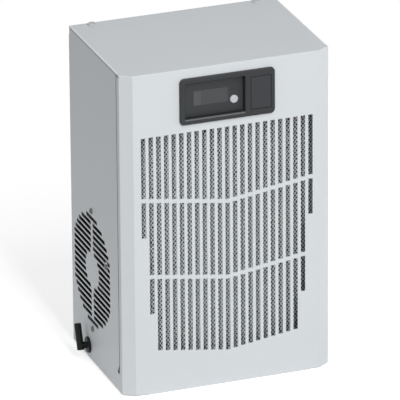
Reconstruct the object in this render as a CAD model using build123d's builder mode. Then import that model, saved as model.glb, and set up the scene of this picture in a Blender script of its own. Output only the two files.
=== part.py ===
"""Enclosure air conditioner: a wall-standing sheet-metal cabinet with a slotted front cover.

Millimetres, +Z up. The origin is the middle of the cabinet's base; the front faces -Y, the rear
face that meets the enclosure is at +Y, and the condenser fan blows out through the -X side.
"""

from math import cos, radians, sin, sqrt
import os

from build123d import *

os.makedirs("parts", exist_ok=True)

# Cabinet
width = 278.0
depth = 195.0
height = 432.0
sheet = 1.5
bevel_across = 15.0
bevel_back = 10.0
bend_radius = 2.2
seat_gap = 0.3

# Seams between the sheets
seam_behind_bend = 8.0
seam_gap = 1.8
seam_foot = 30.0
seam_notch = 8.0
lap_depth = 12.0
lap_overlap = 3.0
side_foot_gap = 1.0
side_head_gap = 0.8
corner_head_gap = 1.8
cover_edge = 0.9
rear_notch_high = 9.0
rear_notch_deep = 1.8
side_flange = 12.0
base_flange_high = 7.0
base_lip_short = 14.0

# Slots of the front cover
slot_columns = 23
slot_tiers = 3
slot_pitch = 10.1
slot_width = 6.0
slots_above_base = 45.2
slots_below_top = 84.0
tier_web = 5.3
chevron_rise = 1.5
stub_length = 48.0

# Control panel
bezel_width = 126.0
bezel_height = 61.2
bezel_below_top = 12.2
bezel_proud = 3.5
bezel_corner = 6.0
bezel_border = 6.6
bezel_edge = 1.2
window_width = 79.7
window_corner = 1.5
window_edge = 0.8
recess_depth = 8.0
sleeve_wall = 1.4
sleeve_behind_face = 6.0
cutout_clearance = 0.5
badge_width = 27.7
badge_height = 43.9
badge_from_side = 5.1
badge_groove = 0.8
badge_thick = 1.0
controller_clearance = 0.4
controller_depth = 30.0
controller_corner = 1.0
display_width = 45.5
display_height = 19.5
display_from_left = 13.8
display_from_top = 13.7
display_thick = 1.2
display_proud = 0.3
button_radius = 5.3
button_from_left = 67.3
button_from_top = 31.2
button_proud = 1.4
button_sunk = 2.0
button_clearance = 0.25

# Air filter, upright between the slots and the coil
filter_width = 250.0
filter_thick = 4.0
filter_rail = 3.0
filter_mesh_thick = 2.4
filter_behind_front = 18.4
filter_below_sleeve = 1.7

# Condenser coil behind the filter
coil_width = 216.0
coil_thick = 14.0
coil_below_controller = 24.0
coil_behind_front = 28.0
coil_plate_out = 1.5
fin_gap = 5.0
fin_groove = 4.0
fin_count = 24

# Side fan and its punched grille
fan_above_base = 128.5
fan_ear_reach = 13.25
fan_coil_gap = 2.0
fan_flange_gap = 1.0
fan_wall = 3.0
fan_tip_gap = 2.5
fan_deep = 51.0
fan_wall_deep = 5.0
rotor_hub_radius = 32.0
rotor_blade_root = 30.0
rotor_blades = 7
rotor_blade_thick = 2.0
rotor_blade_pitch = 24.0
rotor_from_grille = 6.0
rotor_deep = 34.0
strut_width = 8.0
strut_thick = 4.0
grille_pitch = 7.9
grille_slot_high = 5.5
grille_slot_corner = 1.5
grille_pad_ahead = 54.25
grille_pad_above = 25.5
grille_pad_wide = 7.0
grille_inside_ears = 12.0
grille_inside_fan = 5.5
grille_hub_radius = 24.5
grille_web = 6.3

# Right-angle cord outlet, low on the side
outlet_from_rear = 59.0
outlet_above_base = 18.5
outlet_flange_radius = 11.0
outlet_flange_thick = 3.0
outlet_flange_taper = 20.0
outlet_tube_radius = 4.5
outlet_bore_radius = 3.0
outlet_heel = 5.5
outlet_reach = 11.5
outlet_length = 29.0
outlet_lean = 19.0
outlet_shank_radius = 6.0
outlet_nut_radius = 9.0
outlet_nut_thick = 5.0

# Plugs over the lifting points of the top
plug_spacing = 221.0
plug_from_rear = 7.0
plug_radius = 5.5
plug_high = 2.4
plug_crown = 1.0
plug_shank_radius = 3.4
plug_shank = 7.0

# Rear plate
rear_hole_from_side = 26.0
rear_hole_from_end = 26.0
rear_hole_radius = 3.4
nut_radius = 7.0
nut_thick = 6.0
gasket_width = 10.0
gasket_thick = 3.0
gasket_inset = 14.0
inlet_below_top = 62.0
inlet_row_pitch = 7.9
inlet_slot_high = 4.4
inlet_hub_radius = 16.0
inlet_inside_fan = 2.5
supply_columns = 19
supply_pitch = 10.1
supply_slot_wide = 6.0
supply_below_fan = 8.0
supply_above_bulkhead = 10.0

# Inside the rear half
bulkhead_above_fan = 7.5
bulkhead_from_front = 52.0
inner_fan_deep = 25.0
inner_fan_size = 92.0
inner_fan_wall = 2.0
inner_fan_tip_gap = 2.0
inner_hub_radius = 19.0
cooler_width = 200.0
cooler_thick = 30.0
cooler_below_fan = 4.0
cooler_from_rear = 8.0
compressor_radius = 44.0
compressor_high = 150.0
compressor_x = 62.0
compressor_from_rear = 72.0
drain_x = 104.0
drain_from_rear = 24.0
drain_radius = 8.0
drain_bore = 5.5
drain_flange_radius = 13.0
drain_flange_thick = 2.0
drain_high = 22.0
drain_short = 0.5
drain_clearance = 0.2

# Places worked out from the sizes above
front = -depth / 2
rear = depth / 2
side = width / 2
inner_side = side - sheet
bend = side - bevel_across
seam = front + bevel_back + seam_behind_bend
lap_end = seam + lap_depth
cover_foot = sheet
cover_head = height - sheet
side_foot = cover_foot + side_foot_gap
side_head = cover_head - side_head_gap
coil_front = front + coil_behind_front
coil_rear = coil_front + coil_thick
fan_front = coil_rear + coil_plate_out + fan_coil_gap
fan_rear = rear - 2 * sheet - fan_flange_gap
fan_y = (fan_front + fan_rear) / 2
fan_across = fan_rear - fan_front
fan_long_radius = fan_across / 2 + fan_ear_reach
fan_bore_radius = fan_across / 2 - fan_wall
rotor_radius = fan_bore_radius - fan_tip_gap
grille_half_width = fan_across / 2 - grille_inside_fan
grille_radius = fan_long_radius - grille_inside_ears
bulkhead_z = fan_above_base + fan_long_radius + bulkhead_above_fan
inlet_z = height - inlet_below_top
inner_fan_bore = inner_fan_size / 2 - inner_fan_wall
inner_rotor_radius = inner_fan_bore - inner_fan_tip_gap
inlet_radius = inner_fan_bore - inlet_inside_fan


def footprint(inset=0.0):
    """Plan outline of the cabinet, moved in from its outside faces by the inset."""
    with BuildSketch(mode=Mode.PRIVATE) as plan:
        with BuildLine():
            Polyline(
                (-bend, front),
                (bend, front),
                (side, front + bevel_back),
                (side, rear),
                (-side, rear),
                (-side, front + bevel_back),
                close=True,
            )
        make_face()
        if inset:
            offset(amount=-inset, kind=Kind.INTERSECTION)
        if bend_radius > inset:
            fillet(plan.vertices().filter_by(lambda corner: corner.Y < 0), bend_radius - inset)
    return plan.sketch


def slot_spans():
    """Middle x, low z and high z of every slot in the front cover."""
    spans = []
    slots_high = height - slots_below_top
    tier_pitch = (slots_high - slots_above_base + tier_web) / slot_tiers
    half = (slot_columns - 1) // 2
    for column in range(-half, half + 1):
        rise = abs(column) * chevron_rise
        from_edge = half - abs(column)
        for tier in range(slot_tiers):
            low = slots_above_base + rise + (slot_tiers - 1 - tier) * tier_pitch
            high = low + tier_pitch - tier_web
            if tier == 0:
                high = slots_high
            if from_edge == tier - 1:
                low = high - stub_length
            if from_edge >= tier - 1:
                spans.append((column * slot_pitch, low, high))
    return spans


outer_plan = footprint()
inner_plan = footprint(sheet)
lap_plan = footprint(2 * sheet)

window_left = -bezel_width / 2 + bezel_border
window_top = height - bezel_below_top - bezel_border
window_height = bezel_height - 2 * bezel_border
window_x = window_left + window_width / 2
window_z = window_top - window_height / 2
bezel_z = height - bezel_below_top - bezel_height / 2
badge_x = bezel_width / 2 - badge_from_side - badge_width / 2
sleeve_width = window_width + 2 * sleeve_wall
sleeve_height = window_height + 2 * sleeve_wall
face_y = front - bezel_proud + recess_depth

# Front cover: front, bevelled corners and short side returns in one folded sheet
with BuildPart() as front_cover:
    with BuildSketch(Plane.XY.offset(cover_foot)):
        add(outer_plan)
        add(inner_plan, mode=Mode.SUBTRACT)
        with Locations((0, (seam + rear) / 2)):
            Rectangle(2 * width, rear - seam, mode=Mode.SUBTRACT)
    extrude(amount=cover_head - cover_foot)
    with BuildSketch(Plane.XY.offset(cover_foot)):
        add(inner_plan)
        add(lap_plan, mode=Mode.SUBTRACT)
        with Locations((0, lap_end + depth / 2), (0, seam - lap_overlap - depth / 2)):
            Rectangle(2 * width, depth, mode=Mode.SUBTRACT)
    extrude(amount=cover_head - cover_foot - corner_head_gap)
    with BuildSketch(Plane.XZ.offset(-front - bevel_back)):
        with Locations((0, cover_head - corner_head_gap / 2)):
            Rectangle(2 * width, corner_head_gap)
            Rectangle(2 * bend, corner_head_gap, mode=Mode.SUBTRACT)
    extrude(amount=-depth, mode=Mode.SUBTRACT)
    with BuildSketch(Plane.XZ.offset(-front)):
        for x, low, high in slot_spans():
            with Locations((x, (low + high) / 2)):
                Rectangle(slot_width, high - low)
        with Locations((window_x, window_z)):
            Rectangle(sleeve_width + 2 * cutout_clearance, sleeve_height + 2 * cutout_clearance)
    extrude(amount=-sheet, mode=Mode.SUBTRACT)
front_cover.part.label = "front_cover"
export_step(front_cover.part, "parts/front_cover.step")

# Top cover: a flat plate that lies on the folded sheets
with BuildPart() as top_cover:
    with BuildSketch(Plane.XY.offset(cover_head)):
        add(outer_plan)
    extrude(amount=sheet)
    rim = top_cover.faces().sort_by(Axis.Z)[-1].edges()
    chamfer(rim.filter_by(lambda edge: edge.center().Y < rear - sheet), cover_edge)
    for sign in (-1, 1):
        with Locations((sign * plug_spacing / 2, rear - plug_from_rear, height)):
            Hole(plug_shank_radius)
top_cover.part.label = "top_cover"
export_step(top_cover.part, "parts/top_cover.step")

# Base pan: the plate the cabinet stands on, with upturned sides and a front lip
with BuildPart() as base_pan:
    with BuildSketch():
        add(inner_plan)
        with Locations((0, front + sheet)):
            Rectangle(2 * (bend - base_lip_short), 2 * sheet)
    extrude(amount=sheet)
    with BuildSketch(Plane.XY.offset(sheet)):
        for sign in (-1, 1):
            with Locations((sign * (inner_side - sheet / 2), (lap_end + seat_gap + rear - 2 * sheet) / 2)):
                Rectangle(sheet, rear - 2 * sheet - lap_end - seat_gap)
    extrude(amount=base_flange_high)
    with Locations((drain_x, rear - drain_from_rear, sheet)):
        Hole(drain_radius + drain_clearance)
base_pan.part.label = "base_pan"
export_step(base_pan.part, "parts/base_pan.step")


def side_sheet(sign):
    """One flat side with its rear flange, from just above the base to just below the top."""
    with BuildPart(mode=Mode.PRIVATE) as panel:
        with BuildSketch(Plane.XY.offset(side_foot)):
            with Locations((sign * (side - sheet / 2), (seam + rear) / 2)):
                Rectangle(sheet, rear - seam)
            with Locations((sign * (inner_side - side_flange / 2), rear - sheet * 1.5)):
                Rectangle(side_flange, sheet)
        extrude(amount=side_head - side_foot)
        with BuildSketch(Plane.YZ.offset(-width)):
            with Locations((seam + seam_gap / 2, (seam_foot + height) / 2)):
                Rectangle(seam_gap, height - seam_foot)
            with BuildLine():
                Polyline(
                    (seam, seam_foot),
                    (seam + seam_gap, seam_foot + seam_notch),
                    (seam + seam_notch, seam_foot - seam_notch / 2),
                    (seam, seam_foot - seam_notch / 2),
                    close=True,
                )
            make_face()
            with Locations((rear - rear_notch_deep / 2, side_head - rear_notch_high / 2)):
                Rectangle(rear_notch_deep, rear_notch_high)
        extrude(amount=2 * width, mode=Mode.SUBTRACT)
    return panel.part


def grille_slots(pitch, radius, half_width, hub_radius, web):
    """Middle distance from the axis, height above it and length of every slot of a round grille."""
    slots = []
    last = int(radius / pitch)
    for row in range(-last, last + 1):
        up = row * pitch
        reach = min(half_width, sqrt(radius**2 - up**2))
        inner = web / 2
        if abs(up) < hub_radius:
            inner = max(inner, sqrt(hub_radius**2 - up**2))
        if abs(row) == last:
            slots.append((0, up, 2 * reach))
        else:
            slots.append(((inner + reach) / 2, up, reach - inner))
            slots.append((-(inner + reach) / 2, up, reach - inner))
    return slots


fan_grille = grille_slots(
    grille_pitch, grille_radius, grille_half_width, grille_hub_radius, grille_web
)
inlet_grille = grille_slots(
    inlet_row_pitch, inlet_radius, inlet_radius, inlet_hub_radius, grille_web
)

# Left side: the punched grille of the condenser fan and the hole of the cord outlet
with BuildPart() as left_side_panel:
    add(side_sheet(-1))
    with BuildSketch(Plane.YZ.offset(-side)) as grille_holes:
        for along, up, length in fan_grille:
            with Locations((fan_y + along, fan_above_base + up)):
                Rectangle(length, grille_slot_high)
        chamfer(grille_holes.vertices(), grille_slot_corner)
        with Locations((fan_y - grille_pad_ahead, fan_above_base + grille_pad_above)):
            Rectangle(grille_pad_wide, grille_pitch + grille_slot_high, mode=Mode.SUBTRACT)
        with Locations((rear - outlet_from_rear, outlet_above_base)):
            Circle(outlet_shank_radius + cutout_clearance)
    extrude(amount=sheet, mode=Mode.SUBTRACT)
left_side_panel.part.label = "left_side_panel"
export_step(left_side_panel.part, "parts/left_side_panel.step")

with BuildPart() as right_side_panel:
    add(side_sheet(1))
right_side_panel.part.label = "right_side_panel"
export_step(right_side_panel.part, "parts/right_side_panel.step")

# Rear plate: the flat face that meets the enclosure, with its air inlet and outlet
mount_holes = [
    (sign * (side - rear_hole_from_side), z)
    for sign in (-1, 1)
    for z in (rear_hole_from_end, height - rear_hole_from_end)
]
supply_low = bulkhead_z + supply_above_bulkhead
supply_high = inlet_z - inner_fan_size / 2 - supply_below_fan
with BuildPart() as rear_plate:
    with BuildSketch(Plane.XZ.offset(-rear)):
        with Locations((0, (cover_foot + cover_head) / 2)):
            Rectangle(2 * inner_side, cover_head - cover_foot)
        for x, z in mount_holes:
            with Locations((x, z)):
                Circle(rear_hole_radius, mode=Mode.SUBTRACT)
    extrude(amount=sheet)
    with BuildSketch(Plane.XZ.offset(-rear)):
        for along, up, length in inlet_grille:
            with Locations((along, inlet_z + up)):
                Rectangle(length, inlet_slot_high)
        with Locations((0, (supply_low + supply_high) / 2)):
            with GridLocations(supply_pitch, 1, supply_columns, 1):
                Rectangle(supply_slot_wide, supply_high - supply_low)
    extrude(amount=sheet, mode=Mode.SUBTRACT)
rear_plate.part.label = "rear_plate"
export_step(rear_plate.part, "parts/rear_plate.step")

with BuildPart() as mounting_nuts:
    for x, z in mount_holes:
        with BuildSketch(Plane.XZ.offset(-rear + sheet)):
            with Locations((x, z)):
                RegularPolygon(nut_radius, 6)
                Circle(rear_hole_radius, mode=Mode.SUBTRACT)
        extrude(amount=nut_thick)
mounting_nuts.part.label = "mounting_nuts"
export_step(mounting_nuts.part, "parts/mounting_nuts.step")

# Foam gasket round the edge of the rear face
with BuildPart() as rear_gasket:
    with BuildSketch(Plane.XZ.offset(-rear)):
        with Locations((0, height / 2)):
            Rectangle(width - 2 * gasket_inset, height - 2 * gasket_inset)
            Rectangle(
                width - 2 * gasket_inset - 2 * gasket_width,
                height - 2 * gasket_inset - 2 * gasket_width,
                mode=Mode.SUBTRACT,
            )
        for x, z in mount_holes:
            with Locations((x, z)):
                Rectangle(2 * nut_radius, 2 * nut_radius, mode=Mode.SUBTRACT)
    extrude(amount=-gasket_thick)
rear_gasket.part.label = "rear_gasket"
export_step(rear_gasket.part, "parts/rear_gasket.step")

# Bezel of the control panel: rounded frame, window sleeve and the shallow seat of the badge
with BuildPart() as control_bezel:
    with BuildSketch(Plane.XZ.offset(-front)):
        with Locations((0, bezel_z)):
            RectangleRounded(bezel_width, bezel_height, bezel_corner)
    extrude(amount=bezel_proud)
    chamfer(control_bezel.faces().sort_by(Axis.Y)[0].edges(), bezel_edge)
    with BuildSketch(Plane.XZ.offset(-front)):
        with Locations((window_x, window_z)):
            Rectangle(sleeve_width, sleeve_height)
    extrude(amount=-(recess_depth - bezel_proud + sleeve_behind_face))
    with BuildSketch(Plane.XZ.offset(-front + bezel_proud)):
        with Locations((window_x, window_z)):
            RectangleRounded(window_width, window_height, window_corner)
    extrude(amount=-(recess_depth + sleeve_behind_face), mode=Mode.SUBTRACT)
    window_rim = control_bezel.faces().sort_by(Axis.Y)[0].inner_wires()[0]
    chamfer(window_rim.edges(), window_edge)
    with BuildSketch(Plane.XZ.offset(-front + bezel_proud)):
        with Locations((badge_x, bezel_z)):
            Rectangle(badge_width, badge_height)
    extrude(amount=-badge_thick, mode=Mode.SUBTRACT)
control_bezel.part.label = "control_bezel"
export_step(control_bezel.part, "parts/control_bezel.step")

with BuildPart() as badge_plate:
    with BuildSketch(Plane.XZ.offset(-front + bezel_proud - badge_thick)):
        with Locations((badge_x, bezel_z)):
            Rectangle(badge_width - 2 * badge_groove, badge_height - 2 * badge_groove)
    extrude(amount=badge_thick)
badge_plate.part.label = "badge_plate"
export_step(badge_plate.part, "parts/badge_plate.step")

# Controller in the window: its face, display glass and one round button
controller_width = window_width - 2 * controller_clearance
controller_height = window_height - 2 * controller_clearance
display_x = window_left + display_from_left + display_width / 2
display_z = window_top - display_from_top - display_height / 2
button_x = window_left + button_from_left
button_z = window_top - button_from_top
with BuildPart() as controller:
    with BuildSketch(Plane.XZ.offset(-face_y)):
        with Locations((window_x, window_z)):
            RectangleRounded(controller_width, controller_height, controller_corner)
    extrude(amount=-controller_depth)
    with BuildSketch(Plane.XZ.offset(-face_y)):
        with Locations((display_x, display_z)):
            Rectangle(display_width, display_height)
    extrude(amount=-(display_thick - display_proud), mode=Mode.SUBTRACT)
    with BuildSketch(Plane.XZ.offset(-face_y)):
        with Locations((button_x, button_z)):
            Circle(button_radius + button_clearance)
    extrude(amount=-button_sunk, mode=Mode.SUBTRACT)
controller.part.label = "controller"
export_step(controller.part, "parts/controller.step")

with BuildPart() as display_window:
    with BuildSketch(Plane.XZ.offset(-face_y + display_proud)):
        with Locations((display_x, display_z)):
            Rectangle(display_width, display_height)
    extrude(amount=-display_thick)
display_window.part.label = "display_window"
export_step(display_window.part, "parts/display_window.step")

with BuildPart() as control_button:
    with BuildSketch(Plane.XZ.offset(-face_y - button_sunk)):
        with Locations((button_x, button_z)):
            Circle(button_radius)
    extrude(amount=button_sunk + button_proud)
    chamfer(control_button.faces().sort_by(Axis.Y)[0].edges(), button_proud / 2)
control_button.part.label = "control_button"
export_step(control_button.part, "parts/control_button.step")

# Filter: a mesh in a thin frame that stands on the base pan
filter_low = sheet
filter_high = window_z - sleeve_height / 2 - filter_below_sleeve
filter_height = filter_high - filter_low
filter_plane = Plane(
    origin=(0, front + filter_behind_front + filter_thick / 2, (filter_low + filter_high) / 2),
    x_dir=(1, 0, 0),
    z_dir=(0, -1, 0),
)
with BuildPart() as filter_frame:
    with BuildSketch(filter_plane):
        Rectangle(filter_width, filter_height)
        Rectangle(filter_width - 2 * filter_rail, filter_height - 2 * filter_rail, mode=Mode.SUBTRACT)
    extrude(amount=filter_thick / 2, both=True)
filter_frame.part.label = "filter_frame"
export_step(filter_frame.part, "parts/filter_frame.step")

with BuildPart() as filter_mesh:
    with BuildSketch(filter_plane):
        Rectangle(filter_width - 2 * filter_rail, filter_height - 2 * filter_rail)
    extrude(amount=filter_mesh_thick / 2, both=True)
filter_mesh.part.label = "filter_mesh"
export_step(filter_mesh.part, "parts/filter_mesh.step")

# Condenser coil: a finned block between two end plates, fed by a row of tubes
coil_middle_y = (coil_front + coil_rear) / 2
coil_foot = sheet
coil_high = window_z - controller_height / 2 - coil_below_controller - coil_foot
with BuildPart() as condenser_coil:
    with BuildSketch(Plane.XY.offset(coil_foot)):
        with Locations((0, coil_middle_y)):
            Rectangle(coil_width, coil_thick)
    extrude(amount=coil_high)
    with BuildSketch(Plane.XZ.offset(-coil_front)):
        with Locations((0, coil_foot + coil_high / 2)):
            with GridLocations(coil_width / fin_count, 1, fin_count, 1):
                Rectangle(fin_gap, coil_high - 2 * fin_gap)
    extrude(amount=-fin_groove, mode=Mode.SUBTRACT)
condenser_coil.part.label = "condenser_coil"
export_step(condenser_coil.part, "parts/condenser_coil.step")

with BuildPart() as coil_end_plates:
    for sign in (-1, 1):
        with BuildSketch(Plane.XY.offset(coil_foot)):
            with Locations((sign * (coil_width / 2 + sheet / 2), coil_middle_y)):
                Rectangle(sheet, coil_thick + 2 * coil_plate_out)
        extrude(amount=coil_high)
coil_end_plates.part.label = "coil_end_plates"
export_step(coil_end_plates.part, "parts/coil_end_plates.step")

# Condenser fan behind the punched grille, blowing towards -X
fan_plane = Plane(origin=(-inner_side, fan_y, fan_above_base), x_dir=(0, 1, 0), z_dir=(1, 0, 0))
with BuildPart() as condenser_fan_frame:
    with BuildSketch(fan_plane):
        Circle(fan_long_radius)
        Rectangle(fan_across, 2 * fan_long_radius, mode=Mode.INTERSECT)
        Circle(fan_bore_radius, mode=Mode.SUBTRACT)
    extrude(amount=fan_wall_deep)
    with BuildSketch(fan_plane.offset(fan_wall_deep)):
        Circle(fan_across / 2)
        Circle(fan_bore_radius, mode=Mode.SUBTRACT)
    extrude(amount=fan_deep - fan_wall_deep)
    with BuildSketch(fan_plane.offset(fan_deep - strut_thick)):
        Circle(rotor_hub_radius)
        with PolarLocations(0, 3, start_angle=90):
            with Locations((0, (fan_bore_radius + rotor_hub_radius) / 2)):
                Rectangle(strut_width, fan_bore_radius - rotor_hub_radius + 2 * sheet)
    extrude(amount=strut_thick)
condenser_fan_frame.part.label = "condenser_fan_frame"
export_step(condenser_fan_frame.part, "parts/condenser_fan_frame.step")

rotor_back = fan_deep - strut_thick - seat_gap
with BuildPart() as condenser_fan_rotor:
    with BuildSketch(fan_plane.offset(rotor_from_grille)):
        Circle(rotor_hub_radius)
    extrude(amount=rotor_back - rotor_from_grille)
    chamfer(condenser_fan_rotor.faces().sort_by(Axis.X)[0].edges(), rotor_blade_thick)
    blade_middle = rotor_from_grille + rotor_deep / 2 + rotor_blade_thick
    blade_length = rotor_radius - rotor_blade_root
    for blade in range(rotor_blades):
        turned = Location((0, 0, blade_middle), (0, 0, blade * 360 / rotor_blades))
        pitched = Location((0, 0, 0), (90 - rotor_blade_pitch, 0, 0))
        with BuildSketch(Plane(fan_plane.location * turned * pitched)):
            with Locations(((rotor_radius + rotor_blade_root) / 2, 0)):
                Rectangle(blade_length, rotor_deep)
        extrude(amount=rotor_blade_thick / 2, both=True)
    with BuildSketch(fan_plane):
        Circle(rotor_radius)
    extrude(amount=fan_deep, mode=Mode.INTERSECT)
condenser_fan_rotor.part.label = "condenser_fan_rotor"
export_step(condenser_fan_rotor.part, "parts/condenser_fan_rotor.step")

# Cord outlet: flange against the side, short neck, then a tube that stands up and leans back
outlet_y = rear - outlet_from_rear
outlet_plane = Plane(origin=(-side, outlet_y, outlet_above_base), x_dir=(0, 1, 0), z_dir=(-1, 0, 0))
outlet_tube = Plane(
    origin=(-side - outlet_reach, outlet_y, outlet_above_base),
    x_dir=(1, 0, 0),
    z_dir=(0, sin(radians(outlet_lean)), cos(radians(outlet_lean))),
)
with BuildPart() as cord_outlet:
    with BuildSketch(outlet_tube.offset(-outlet_heel)):
        Circle(outlet_tube_radius)
    extrude(amount=outlet_heel + outlet_length)
    with BuildSketch(outlet_plane):
        Circle(outlet_tube_radius)
    extrude(amount=outlet_reach)
    with BuildSketch(outlet_plane):
        Circle(outlet_flange_radius)
    extrude(amount=outlet_flange_thick, taper=outlet_flange_taper)
    with BuildSketch(outlet_plane):
        Circle(outlet_shank_radius)
    extrude(amount=-(sheet + outlet_nut_thick + sheet))
    with BuildSketch(outlet_tube):
        Circle(outlet_bore_radius)
    extrude(amount=outlet_length, mode=Mode.SUBTRACT)
    with BuildSketch(outlet_plane.offset(outlet_reach)):
        Circle(outlet_bore_radius)
    extrude(amount=-(outlet_reach + 2 * sheet + outlet_nut_thick), mode=Mode.SUBTRACT)
cord_outlet.part.label = "cord_outlet"
export_step(cord_outlet.part, "parts/cord_outlet.step")

with BuildPart() as outlet_nut:
    with BuildSketch(outlet_plane.offset(-sheet)):
        RegularPolygon(outlet_nut_radius, 6)
        Circle(outlet_shank_radius, mode=Mode.SUBTRACT)
    extrude(amount=-outlet_nut_thick)
outlet_nut.part.label = "outlet_nut"
export_step(outlet_nut.part, "parts/outlet_nut.step")

# Plugs that close the lifting points of the top
with BuildPart() as lifting_plugs:
    for sign in (-1, 1):
        with Locations((sign * plug_spacing / 2, rear - plug_from_rear, height)):
            Cylinder(plug_radius, plug_high, align=(Align.CENTER, Align.CENTER, Align.MIN))
        with BuildSketch(Plane.XY.offset(height)):
            with Locations((sign * plug_spacing / 2, rear - plug_from_rear)):
                RegularPolygon(plug_shank_radius, 6)
        extrude(amount=-plug_shank)
    crowns = lifting_plugs.faces().filter_by(Plane.XY).group_by(Axis.Z)[-1]
    chamfer(crowns.edges(), plug_crown)
lifting_plugs.part.label = "lifting_plugs"
export_step(lifting_plugs.part, "parts/lifting_plugs.step")

# Bulkhead between the condenser half and the enclosure half
bulkhead_y = front + bulkhead_from_front
with BuildPart() as bulkhead:
    with BuildSketch(Plane.YZ.offset(-inner_side)):
        with BuildLine():
            Polyline(
                (bulkhead_y, cover_head),
                (bulkhead_y, bulkhead_z),
                (rear - sheet, bulkhead_z),
                (rear - sheet, bulkhead_z + sheet),
                (bulkhead_y + sheet, bulkhead_z + sheet),
                (bulkhead_y + sheet, cover_head),
                close=True,
            )
        make_face()
    extrude(amount=2 * inner_side)
    with BuildSketch(Plane.XY.offset(bulkhead_z)):
        for sign in (-1, 1):
            with Locations((sign * inner_side, rear)):
                Rectangle(2 * side_flange, 4 * sheet)
    extrude(amount=sheet, mode=Mode.SUBTRACT)
bulkhead.part.label = "bulkhead"
export_step(bulkhead.part, "parts/bulkhead.step")

# Fan that draws the warm air in through the rear inlet
inlet_plane = Plane.XZ.offset(-rear + sheet)
with BuildPart() as inlet_fan_frame:
    with BuildSketch(inlet_plane):
        with Locations((0, inlet_z)):
            Rectangle(inner_fan_size, inner_fan_size)
            Circle(inner_fan_bore, mode=Mode.SUBTRACT)
    extrude(amount=inner_fan_deep)
    with BuildSketch(inlet_plane.offset(inner_fan_deep - strut_thick)):
        with Locations((0, inlet_z)):
            Circle(inner_hub_radius)
            Rectangle(2 * inner_fan_bore + sheet, strut_width)
            Rectangle(strut_width, 2 * inner_fan_bore + sheet)
    extrude(amount=strut_thick)
inlet_fan_frame.part.label = "inlet_fan_frame"
export_step(inlet_fan_frame.part, "parts/inlet_fan_frame.step")

with BuildPart() as inlet_fan_rotor:
    rotor_plane = Plane(
        origin=(0, rear - sheet - rotor_from_grille, inlet_z), z_dir=(0, -1, 0)
    )
    inner_rotor_deep = inner_fan_deep - strut_thick - seat_gap - rotor_from_grille
    with BuildSketch(rotor_plane):
        Circle(inner_hub_radius)
    extrude(amount=inner_rotor_deep)
    for blade in range(rotor_blades):
        turned = Location((0, 0, inner_rotor_deep / 2), (0, 0, blade * 360 / rotor_blades))
        pitched = Location((0, 0, 0), (90 - rotor_blade_pitch, 0, 0))
        with BuildSketch(Plane(rotor_plane.location * turned * pitched)):
            with Locations(((inner_rotor_radius + inner_hub_radius) / 2 - sheet, 0)):
                Rectangle(inner_rotor_radius - inner_hub_radius + 2 * sheet, inner_rotor_deep - sheet)
        extrude(amount=rotor_blade_thick / 2, both=True)
    with BuildSketch(rotor_plane):
        Circle(inner_rotor_radius)
    extrude(amount=inner_rotor_deep, mode=Mode.INTERSECT)
inlet_fan_rotor.part.label = "inlet_fan_rotor"
export_step(inlet_fan_rotor.part, "parts/inlet_fan_rotor.step")

# Cooling coil behind the air outlet, standing on the bulkhead
cooler_y = rear - sheet - cooler_from_rear - cooler_thick / 2
with BuildPart() as cooling_coil:
    with BuildSketch(Plane.XY.offset(bulkhead_z + sheet)):
        with Locations((0, cooler_y)):
            Rectangle(cooler_width, cooler_thick)
    extrude(amount=inlet_z - inner_fan_size / 2 - cooler_below_fan - bulkhead_z - sheet)
cooling_coil.part.label = "cooling_coil"
export_step(cooling_coil.part, "parts/cooling_coil.step")

# Compressor can on the base pan
with BuildPart() as compressor:
    with Locations((compressor_x, rear - compressor_from_rear, sheet)):
        Cylinder(
            compressor_radius,
            compressor_high,
            align=(Align.CENTER, Align.CENTER, Align.MIN),
        )
compressor.part.label = "compressor"
export_step(compressor.part, "parts/compressor.step")

# Condensate drain through the base pan
with BuildPart() as drain_spout:
    with Locations((drain_x, rear - drain_from_rear, drain_short)):
        Cylinder(
            drain_radius,
            drain_high,
            align=(Align.CENTER, Align.CENTER, Align.MIN),
        )
    with BuildSketch(Plane.XY.offset(sheet)):
        with Locations((drain_x, rear - drain_from_rear)):
            RegularPolygon(drain_flange_radius, 6)
    extrude(amount=drain_flange_thick)
    with Locations((drain_x, rear - drain_from_rear, drain_short + drain_high)):
        Hole(drain_bore)
drain_spout.part.label = "drain_spout"
export_step(drain_spout.part, "parts/drain_spout.step")
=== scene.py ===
"""Finishes and small parts of a side-mounted enclosure air conditioner.

The construction model is the fixed frame. Each operator below dresses one piece or one group
of like pieces, and the last one builds the stage. Everything is in metres.
"""

from math import cos, radians, sin

import bmesh
import bpy
from mathutils import Matrix, Vector


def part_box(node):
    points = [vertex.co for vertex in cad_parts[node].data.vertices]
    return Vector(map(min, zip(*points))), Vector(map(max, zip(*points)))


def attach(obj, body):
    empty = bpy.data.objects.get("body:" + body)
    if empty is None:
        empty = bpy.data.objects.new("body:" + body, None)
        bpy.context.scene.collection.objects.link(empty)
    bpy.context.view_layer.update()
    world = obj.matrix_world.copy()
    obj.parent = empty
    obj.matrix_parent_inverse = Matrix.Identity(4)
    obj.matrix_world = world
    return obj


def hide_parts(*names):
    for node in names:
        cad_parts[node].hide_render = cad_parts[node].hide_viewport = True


bl_info = {
    "name": "Enclosure Air Conditioner",
    "version": (1, 0, 0),
    "blender": (4, 5, 0),
    "location": "3D View > Sidebar > Air Conditioner",
    "description": "Dresses the sheet-metal cabinet, its air filter, panel, fans and fasteners",
    "category": "Object",
}

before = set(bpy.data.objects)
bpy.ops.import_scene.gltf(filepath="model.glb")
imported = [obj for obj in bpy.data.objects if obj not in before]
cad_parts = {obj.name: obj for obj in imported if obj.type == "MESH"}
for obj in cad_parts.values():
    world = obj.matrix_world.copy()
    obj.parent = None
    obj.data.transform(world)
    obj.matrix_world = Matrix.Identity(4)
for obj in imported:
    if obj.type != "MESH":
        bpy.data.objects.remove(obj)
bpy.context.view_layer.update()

BODY = "root"
MILLIMETRE = 0.001

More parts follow.
